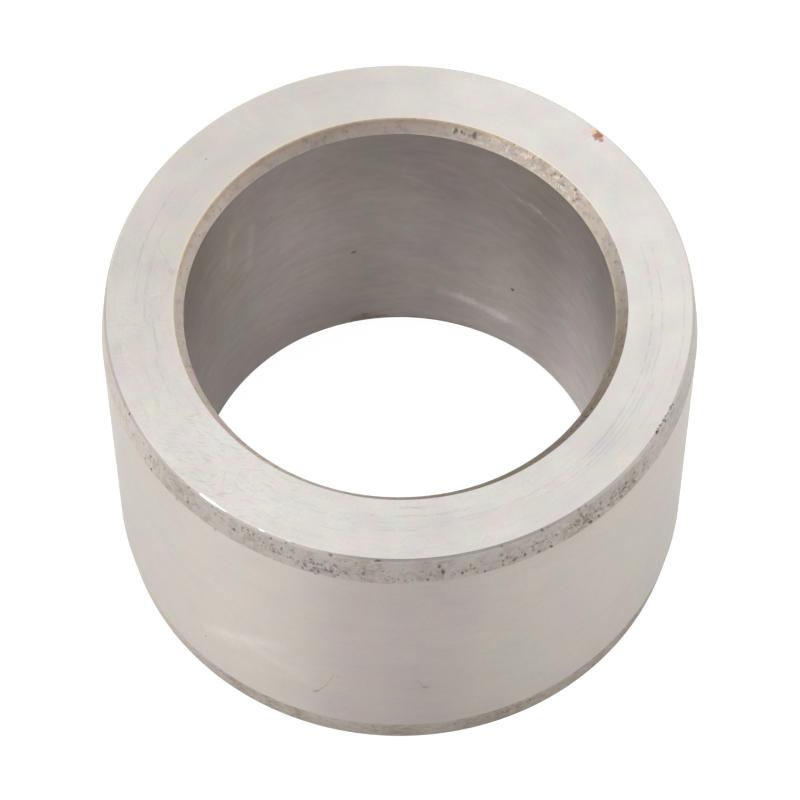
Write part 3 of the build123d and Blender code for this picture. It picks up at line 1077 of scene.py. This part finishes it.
# Single scratches of the end face: radius and turn of both ends, width, how much lighter or darker.
FACE_SCRATCHES = (
    (34.5, 127.6, 32.5, 126.7, 0.24, 1.07), (32.5, 126.7, 30.2, 124.7, 0.26, 1.08),
    (30.2, 124.7, 29.3, 124.6, 0.24, 1.07), (30.9, 162.0, 30.1, 164.8, 0.3, 0.95),
    (30.1, 164.8, 28.9, 167.4, 0.3, 0.93), (28.9, 167.4, 28.0, 169.8, 0.3, 0.92),
    (34.9, -174.6, 33.2, -174.9, 0.26, 0.92), (33.2, -174.9, 31.6, -174.4, 0.24, 0.9),
    (33.6, -177.0, 31.6, -174.4, 0.2, 0.93), (31.6, -174.4, 29.6, -172.6, 0.24, 0.95),
    (28.2, -88.5, 28.8, -84.0, 0.16, 0.84), (34.0, -86.0, 33.8, -82.4, 0.14, 0.9),
    (30.6, -59.0, 33.4, -50.0, 0.2, 1.04), (29.5, 33.0, 31.2, 28.0, 0.16, 1.04),
    (31.9, -118.0, 29.0, -112.0, 0.2, 1.05), (33.4, -128.5, 31.2, -131.0, 0.24, 0.92),
    (31.2, -131.0, 30.2, -127.0, 0.24, 0.93), (30.2, -127.0, 31.0, -122.5, 0.22, 0.94),
    (29.3, -142.0, 30.8, -147.0, 0.24, 1.05), (30.8, -147.0, 32.4, -149.5, 0.24, 1.05),
)
# Loose brushed strokes of the end face: lean, length and width in mm, bend, number, seed, tone.
FACE_STROKES = (
    (0.7, 2.2, 0.3, 11.0, 1.25, 4.0, 0.955), (-0.9, 2.4, 0.28, 12.0, 1.2, 9.0, 0.955),
    (2.2, 2.0, 0.26, 10.0, 1.25, 17.0, 1.045), (-0.2, 3.0, 0.34, 9.0, 1.2, 29.0, 1.035),
)
# The rust spot: radius, turn, size in mm, raggedness, colour, strength.
RUST_SPOT = (
    (34.3, 46.9, 1.0, 1.0, (0.6, 0.45, 0.43), 0.35), (34.75, 45.1, 0.78, 0.5, None, 1.0),
    (34.15, 44.7, 0.34, 0.6, (0.36, 0.25, 0.24), 0.8), (34.45, 43.7, 0.34, 0.5, (0.4, 0.21, 0.15), 0.9),
    (34.9, 44.5, 0.32, 0.5, (0.34, 0.125, 0.06), 0.8), (34.75, 46.2, 0.4, 0.4, (0.66, 0.47, 0.31), 0.95),
    (35.15, 45.6, 0.26, 0.4, (0.27, 0.19, 0.13), 0.8), (34.25, 45.6, 0.24, 0.5, (0.34, 0.25, 0.23), 0.7),
    (35.2, 43.9, 0.22, 0.4, (0.78, 0.6, 0.48), 0.7),
)
ARC_WIDTH = 0.21         # in mm


def ground_face(settings):
    """Ground end face: brushed patches, arcs and scratches, one rust spot, and painted shade on some sides."""
    f = Finish("ground end face", settings, settings.face_colour)
    f.mottle(patch=0.4, amount=0.17, seed=3.0, gloss=0.18)
    # Painted shade: the face is darkened towards the back-left, the front-right and a little towards the front.
    f.shade(f.facing(-0.82, 0.57, 0.1, 1.0), (0.86, 0.845, 0.835))
    f.shade(f.facing(0.57, -0.82, 0.6, 1.0), 0.935)
    f.shade(f.facing(-0.26, -0.966, 0.8, 0.98), 0.975)
    brushed = f.facing(-0.57, -0.82, -0.2, 0.85, 0.25, 1.0)
    lay = f.lay("Radius", lines=2.0, length=8.0, seed=2.0)
    f.shade(f.times(f.remap(lay["Fine"], 0.52, 0.68), brushed), 0.945)
    f.shade(f.remap(lay["Broad"], 0.35, 0.7), 0.97)
    arcs = reduce(f.larger, (
        f.times(f.group("arc scratch", Around=f.place["Around"], Radius=f.place["Radius"], At_radius=radius,
                        Middle_turn=middle, Half_span=span, Width=ARC_WIDTH)["Scratch"], strength)
        for radius, middle, span, strength in FACE_ARCS))
    f.shade(arcs, 0.74)
    f.scratches("Point", on_face, FACE_SCRATCHES)
    patchy = f.remap(f.noise(f.place["Point"], 0.22), 0.4, 0.62)

    def brush():
        for *stroke, tone in FACE_STROKES:
            mask = f.times(f.times(f.strokes("Point", *stroke), brushed), patchy)
            f.shade(mask, tone)
            yield mask

    strokes = reduce(f.larger, brush())
    curls = f.strokes("Point", lean=0.3, length=1.6, width=0.22, bend=26.0, number=1.4, seed=41.0)
    f.shade(f.times(curls, f.blot(on_face(32.3, -133, TOP), size=12.0, ragged=0.3)), 0.9)
    f.shade(f.times(f.blot(on_face(33.6, -137, TOP), size=3.2, ragged=0.6), 0.6), (0.94, 0.965, 0.93))
    f.raise_by(lay["Fine"], 0.0011)
    f.raise_by(arcs, -0.003)
    f.raise_by(strokes, -0.001)
    f.wear((0.42, 0.26, 0.18))

    def rust():
        for radius, turn, size, ragged, colour, strength in RUST_SPOT:
            mask = f.times(f.blot(on_face(radius, turn, TOP), size, ragged), strength)
            f.colour = f.mix(mask, f.colour, rgba(colour or settings.rust_colour))
            yield mask

    rusty = reduce(f.larger, rust())
    f.roughness = f.scaled(rusty, 0.35, f.roughness, clamp=True)
    f.metal = f.minus(f.metal, f.times(rusty, 0.8), clamp=True)
    f.shade(f.blot(on_face(27.9, 170.6, TOP), size=0.5, ragged=1.0), (0.95, 0.88, 0.85))
    return f.finish()


# Hair scratches of the outside, and three wide soft light streaks at the front-left that are painted glints: turn and
# height of both ends, width, how much lighter or darker.
OUTSIDE_SCRATCHES_AND_GLINTS = (
    (-107.0, 10.4, -106.2, 10.9, 0.6, (0.7, 0.64, 0.56)),
    (-106.4, 10.8, -104.6, 12.8, 0.4, (0.82, 0.78, 0.7)),
    (-104.6, 12.8, -103.2, 15.6, 0.34, (0.87, 0.84, 0.78)),
    (-103.2, 15.6, -101.6, 15.8, 0.34, (0.9, 0.87, 0.82)),
    (-89.9, 13.6, -87.6, 14.1, 0.34, (0.9, 0.87, 0.82)),
    (-86.6, 15.8, -85.2, 14.2, 0.4, (0.86, 0.82, 0.76)),
    (-85.5, 14.2, -84.6, 14.3, 0.6, (0.7, 0.64, 0.56)),
    # Painted glints: the three widest streaks, from turn -131 to -109.5.
    (-27.7, 14.3, -27.5, 15.8, 0.2, 0.82), (-131.0, 13.2, -115.0, 19.0, 5.0, 1.07),
    (-127.0, 15.2, -118.0, 18.4, 2.8, 1.06), (-120.0, 16.0, -109.5, 13.3, 3.2, 1.06),
    (-66.0, 27.5, -50.0, 26.8, 0.3, 1.035), (-72.0, 31.0, -60.0, 30.2, 0.25, 1.03),
    (-58.0, 33.8, -47.0, 33.2, 0.2, 1.03), (20.0, 12.0, 31.0, 19.0, 0.14, 0.93),
    (80.0, 30.0, 96.0, 26.0, 0.16, 1.05), (150.0, 22.0, 158.0, 30.0, 0.14, 0.93),
)


def ground_outside(settings):
    """Ground outside: smooth, with faint streaks round it, a few hair scratches, painted glints at the front-left and
    painted shade at the front.
    """
    f = Finish("ground outside", settings, settings.outside_colour)
    f.mottle(patch=0.22, amount=0.15, seed=11.0, gloss=0.14)
    f.grind(lines=4.0, length=6.0, seed=5.0, tone=0.975, relief=0.001)
    f.scratches("Unrolled", unrolled, OUTSIDE_SCRATCHES_AND_GLINTS)
    hairs = f.strokes("Unrolled", lean=0.35, length=6.0, width=0.4, bend=5.0, number=0.6, seed=14.0)
    f.shade(hairs, 1.03)
    grit = f.noise(f.vector("MULTIPLY", f.place["Unrolled"], (1.0, 2.2, 1.0)), 1.1, 3.0, 0.65)
    f.shade(f.remap(grit, 0.35, 0.65), 0.975)
    # Painted shade: the front of the outside is darker and a little purple, a painted dark reflection.
    f.shade(f.facing(-0.03, -1.0, 0.945, 0.995), (0.935, 0.905, 0.935))
    f.shade(f.times(f.height(38.8, 40.6), f.facing(0.68, -0.73, 0.86, 0.99)), (1.02, 0.955, 0.92))
    f.raise_by(hairs, -0.001)
    f.wear((0.42, 0.26, 0.18))
    return f.finish()


# Painted highlights in the bore, light streaks where the wall mirrors light: turn and height of both ends, width, how
# much lighter.
BORE_GLINTS = (
    (62.3, 37.6, 54.6, 35.9, 0.9, 1.14), (54.6, 35.9, 45.7, 35.6, 1.1, 1.18), (45.7, 35.6, 39.8, 35.4, 0.9, 1.12),
    (51.0, 36.4, 47.5, 36.0, 1.2, 1.3), (88.7, 34.3, 80.3, 32.1, 0.8, 1.1), (78.0, 8.6, 69.0, 7.9, 2.6, 1.2),
    (72.0, 8.1, 59.0, 7.1, 3.2, 1.22), (62.0, 7.1, 49.0, 7.8, 3.0, 1.15), (90.0, 16.0, 76.0, 13.5, 3.0, 1.08),
    (135.0, 34.0, 137.0, 26.0, 2.2, 1.12), (143.0, 37.0, 146.0, 30.0, 2.0, 1.1),
)
# Painted light and shade on the bore: which way, from and to which share of it, from and to which height, tone.
BORE_LIGHT_AND_SHADE = (
    (0.98, 0.17, 0.78, 0.97, -30.0, -10.0, (1.36, 1.4, 1.45)),
    (0.5, 0.87, 0.86, 0.99, 41.0, 30.0, (0.88, 0.875, 0.88)),
    (-0.1, 0.995, 0.66, 0.97, 22.0, 41.0, (0.79, 0.79, 0.8)),
    (0.85, 0.53, 0.75, 0.96, 34.0, 42.0, (1.06, 1.06, 1.05)),
    (-0.95, 0.31, 0.84, 0.98, 8.0, 38.0, (1.22, 1.21, 1.18)),
    (-0.67, 0.74, 0.82, 0.98, 14.0, 4.0, (0.86, 0.85, 0.86)),
)
# Brown blots at the foot of the bore: turn, height, size.
BORE_BLOTS = ((101.5, 1.9, 1.3), (98.2, 1.6, 1.5), (94.8, 1.3, 1.1))


def honed_bore(settings):
    """Bore wall: darker, with soft streaks round it, a few dots, painted glint streaks and painted light and shade."""
    f = Finish("honed bore", settings, settings.bore_colour, -0.02)
    f.mottle(patch=0.14, amount=0.2, seed=23.0, gloss=0.16)
    clouds = f.noise(f.vector("MULTIPLY", f.place["Unrolled"], (0.32, 0.8, 1.0)), 1.0, 4.0, 0.62)
    f.shade(f.remap(clouds, 0.36, 0.64), 0.92)
    f.shade(f.remap(f.grind(lines=1.7, length=5.0, seed=8.0, tone=0.94, relief=0.0012, low=0.3), 0.4, 0.7), 0.97)
    f.scratches("Unrolled", partial(unrolled, radius=BORE_RADIUS), BORE_GLINTS)
    # Painted light and shade on the bore.
    for x, y, low, high, from_height, to_height, tone in BORE_LIGHT_AND_SHADE:
        f.shade(f.times(f.facing(x, y, low, high), f.height(from_height, to_height)), tone)
    f.wear((0.3, 0.16, 0.1))
    for turn, height, size in BORE_BLOTS:
        f.shade(f.times(f.blot(on_face(BORE_RADIUS, turn, height), size, ragged=0.8), 0.7), (0.76, 0.62, 0.53))
    return f.finish()


def pitted_lead_in(settings):
    """Tapered lead-in: turned, dull and freckled with corrosion, and painted lighter towards the left."""
    f = Finish("pitted lead-in", settings, settings.lead_colour, 0.02)
    f.mottle(patch=0.55, amount=0.24, seed=37.0, gloss=0.2)
    f.grind(lines=5.0, length=10.0, seed=13.0, tone=0.94, relief=0.0022)
    f.shade(f.height(8.0, 5.0), (0.95, 0.9, 0.84))
    # Painted light: the lead-in is lighter towards the left.
    f.shade(f.facing(-0.96, -0.28, 0.86, 0.98), (1.2, 1.17, 1.12))
    f.wear((0.255, 0.205, 0.15), stain=1.0, freckles=0.55)
    return f.finish()


OXIDE_METAL = 0.35       # the browned skin hides most of the metal's gloss


def browned_chamfer(settings):
    """Bore chamfer: browned and pitted, with straw lines along both edges that are partly painted edge highlights, and
    painted light and shade round it.
    """
    f = Finish("browned bore chamfer", settings, settings.chamfer_colour, 0.02)
    f.mottle(patch=0.6, amount=0.2, seed=41.0)
    f.grind(lines=6.0, length=10.0, seed=17.0, tone=0.92, relief=0.0022)
    # Painted shade and light: darker towards the front-right and the back, lighter towards the left front.
    f.shade(f.facing(0.77, -0.64, 0.35, 1.0), (0.6, 0.59, 0.565))
    f.shade(f.facing(-0.85, -0.53, 0.45, 0.95), (1.38, 1.38, 1.37))
    f.shade(f.facing(-0.31, 0.95, 0.7, 0.98), (0.66, 0.63, 0.63))
    flaked = f.facing(0.6, 0.8, 0.88, 0.99)
    flakes = f.remap(f.noise(f.place["Point"], 1.7, 3.0, 0.6), 0.5, 0.64)
    f.shade(f.times(flaked, flakes), (1.4, 1.42, 1.4))
    f.shade(f.times(f.facing(-0.34, 0.94, 0.2, 0.8), f.height(44.2, 44.7)), (0.92, 0.85, 0.75))
    f.wear((0.24, 0.19, 0.13), stain=0.8, freckles=0.6)
    f.metal = f.times(f.metal, OXIDE_METAL)
    return f.finish()


def dull_edge(settings):
    """Small edge break at the rim: as bright as the face, but for painted shade on part of it and painted light at the
    back.
    """
    f = Finish("dull edge break", settings, settings.edge_colour)
    f.mottle(patch=0.5, amount=0.14, seed=47.0)
    f.grind(lines=7.0, length=12.0, seed=19.0, tone=0.95, relief=0.002)
    # Painted light: the back of the edge break is lighter.
    f.shade(f.facing(0.0, 1.0, -0.1, 0.25), 1.4)
    f.wear((0.3, 0.2, 0.12), stain=0.6)
    return f.finish()


FINISH_MAKERS = {
    "bore": honed_bore, "chamfer": browned_chamfer, "face": ground_face, "edge": dull_edge,
    "lead": pitted_lead_in, "outside": ground_outside,
}


# ---------------------------------------------------------------- the stage


# Parts of the room that are lighter or dimmer than the rest: heading and height in degrees, how much lighter.
ROOM_PATCHES = ((180, 58, 0.55), (-135, 58, 0.6), (-90, 58, -0.85), (0, 58, -0.1), (0, 28, 0.45))
PATCH_SOLID, PATCH_FADED = 10.0, 32.0      # degrees from the middle of a patch
WHITE = (1.0, 1.0, 1.0, 1.0)
BACKDROP = 1.05          # brightness behind the sleeve
FLOOR_COLOUR = (0.84, 0.84, 0.83, 1.0)
FLOOR_GLOSS = 0.4        # how much of the floor's light is mirrored
FLOOR_ROUGHNESS = 0.3
FLOOR_GLOW = 0.965       # brightness of the floor as the camera sees it
FLOOR_SHADE = (0.1, 0.1, 0.1, 1.0)         # how strongly shadows fall on it
FLOOR_DROP = 0.00002     # how far the floor lies below the sleeve
FLOOR_BEND = 0.3         # radius of the floor's middle ring
FLOOR_STEPS = 128


def heading(turn, rise):
    """The direction at this turn and height over the horizon, both in degrees."""
    turn, rise = math.radians(turn), math.radians(rise)
    return (math.cos(turn) * math.cos(rise), math.sin(turn) * math.cos(rise), math.sin(rise))


def white_room(strength):
    """A white room with softly lighter and dimmer parts, and plain white behind the sleeve."""
    world = bpy.data.worlds.new("white room")
    world.use_nodes = True
    bpy.context.scene.world = world
    w = Wires(world.node_tree)
    way = w.node("TexCoord").outputs["Generated"]
    level = strength
    for turn, rise, lighter in ROOM_PATCHES:
        near = w.dot(way, heading(turn, rise))
        patch = w.remap(near, math.cos(math.radians(PATCH_FADED)), math.cos(math.radians(PATCH_SOLID)))
        level = w.scaled(patch, lighter, level)
    seen = w.node("LightPath").outputs["Is Camera Ray"]
    room = w.output("Background", Color=WHITE, Strength=level)
    plain = w.output("Background", Color=WHITE, Strength=BACKDROP)
    w.node("OutputWorld", w.node("MixShader", seen, room, plain).outputs[0])


def pale_floor_material():
    """Pale floor that looks almost white and is clear from underneath."""
    material = bpy.data.materials.new("pale floor")
    material.use_nodes = True
    w = Wires(material.node_tree)
    matt = w.output("BsdfDiffuse", Color=FLOOR_COLOUR)
    sheen = w.output("BsdfGlossy", Color=FLOOR_COLOUR, Roughness=FLOOR_ROUGHNESS)
    pale = w.node("MixShader", FLOOR_GLOSS, matt, sheen).outputs[0]
    glow = w.output("Emission", Strength=FLOOR_GLOW)
    lit = w.node("AddShader", glow, w.output("BsdfDiffuse", Color=FLOOR_SHADE)).outputs[0]
    seen = w.node("MixShader", w.node("LightPath").outputs["Is Camera Ray"], pale, lit).outputs[0]
    below = w.node("NewGeometry").outputs["Backfacing"]
    sided = w.node("MixShader", below, seen, w.output("BsdfTransparent")).outputs[0]
    w.node("OutputMaterial", sided)
    return material


def floor_mesh(section, radius):
    """A round floor, open only where the sleeve stands, so its foot can be seen from below."""
    inner = section.corners[LOW_CHAMFER][0] * MM
    outer = section.corners[LOW_FACE][0] * MM
    points, faces = [(0.0, 0.0, -FLOOR_DROP)], []
    for reach in (inner, outer, FLOOR_BEND, radius):
        for step in range(FLOOR_STEPS):
            turn = 2 * math.pi * step / FLOOR_STEPS
            points.append((reach * math.cos(turn), reach * math.sin(turn), -FLOOR_DROP))
    for step in range(FLOOR_STEPS):
        after = (step + 1) % FLOOR_STEPS
        faces.append((0, 1 + step, 1 + after))
        for ring in (1, 2):
            low, high = 1 + ring * FLOOR_STEPS, 1 + (ring + 1) * FLOOR_STEPS
            faces.append((low + step, high + step, high + after, low + after))
    mesh = bpy.data.meshes.new("pale_floor")
    mesh.from_pydata(points, [], faces)
    mesh.update()
    return mesh


SENSOR_WIDTH = 36.0      # in mm
NEAR_CLIP = 0.01


def aimed_camera(settings, low, high):
    """The camera in front of a box, at its elevation, looking at the middle."""
    lens = bpy.data.cameras.new("camera")
    lens.sensor_width = SENSOR_WIDTH
    lens.lens = settings.lens
    lens.clip_start = NEAR_CLIP
    lens.shift_x = settings.shift_right
    lens.shift_y = settings.shift_up
    x, y, z = ((least + most) / 2 for least, most in zip(low, high))
    camera = bpy.data.objects.new("camera", lens)
    camera.location = (x, y - settings.distance * math.cos(settings.elevation),
                       z + settings.distance * math.sin(settings.elevation))
    look = (Vector((x, y, z)) - camera.location).to_track_quat("-Z", "Y")
    camera.rotation_euler = (look @ Quaternion((0.0, 0.0, 1.0), settings.roll)).to_euler()
    return camera


# ---------------------------------------------------------------- operators and panel


class SLEEVE_OT_body(Operator):
    """Makes the worn steel sleeve over its CAD solid"""

    bl_idname = "sleeve.make_body"
    bl_label = "Worn sleeve"

    def execute(self, context):
        shape = context.scene.worn_sleeve_shape
        settings = context.scene.worn_sleeve_finish
        for group in SHARED_GROUPS:
            build_group(*group)
        mesh = sleeve_mesh(Section(), shape)
        for finish in FINISHES:
            mesh.materials.append(FINISH_MAKERS[finish](settings))
        sleeve = bpy.data.objects.new("worn_sleeve", mesh)
        context.collection.objects.link(sleeve)
        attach(sleeve, BODY)
        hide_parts(NODE)
        return {"FINISHED"}


class SLEEVE_OT_stage(Operator):
    """Sets the floor, the light and the camera"""

    bl_idname = "sleeve.make_stage"
    bl_label = "Studio stage"

    def execute(self, context):
        settings = context.scene.worn_sleeve_stage
        scene = context.scene
        scene.view_settings.view_transform = "Standard"
        floor = bpy.data.objects.new("pale_floor", floor_mesh(Section(), settings.floor_radius))
        floor.data.materials.append(pale_floor_material())
        context.collection.objects.link(floor)
        floor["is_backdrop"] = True
        white_room(settings.sky_strength)
        scene.camera = aimed_camera(settings, *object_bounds())
        context.collection.objects.link(scene.camera)
        return {"FINISHED"}


class SLEEVE_PT_sidebar(Panel):
    """Lists the pieces of the sleeve and their settings"""

    bl_label = "Worn spacer sleeve"
    bl_idname = "SLEEVE_PT_sidebar"
    bl_space_type = "VIEW_3D"
    bl_region_type = "UI"
    bl_category = "Sleeve"

    def draw(self, context):
        scene = context.scene
        for operator, settings in ((SLEEVE_OT_body, scene.worn_sleeve_shape),
                                   (None, scene.worn_sleeve_finish),
                                   (SLEEVE_OT_stage, scene.worn_sleeve_stage)):
            box = self.layout.box()
            if operator is not None:
                box.operator(operator.bl_idname)
            for name in settings.__annotations__:
                box.prop(settings, name)


CLASSES = (WornSleeveShape, WornSleeveFinish, WornSleeveStage, SLEEVE_OT_body, SLEEVE_OT_stage,
           SLEEVE_PT_sidebar)


def register():
    for cls in CLASSES:
        bpy.utils.register_class(cls)
    bpy.types.Scene.worn_sleeve_shape = PointerProperty(type=WornSleeveShape)
    bpy.types.Scene.worn_sleeve_finish = PointerProperty(type=WornSleeveFinish)
    bpy.types.Scene.worn_sleeve_stage = PointerProperty(type=WornSleeveStage)


def unregister():
    del bpy.types.Scene.worn_sleeve_stage
    del bpy.types.Scene.worn_sleeve_finish
    del bpy.types.Scene.worn_sleeve_shape
    for cls in reversed(CLASSES):
        bpy.utils.unregister_class(cls)


def main():
    """Makes everything in order."""
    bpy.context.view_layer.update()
    register()
    bpy.ops.sleeve.make_body()
    bpy.ops.sleeve.make_stage()


if __name__ == "__main__":
    main()
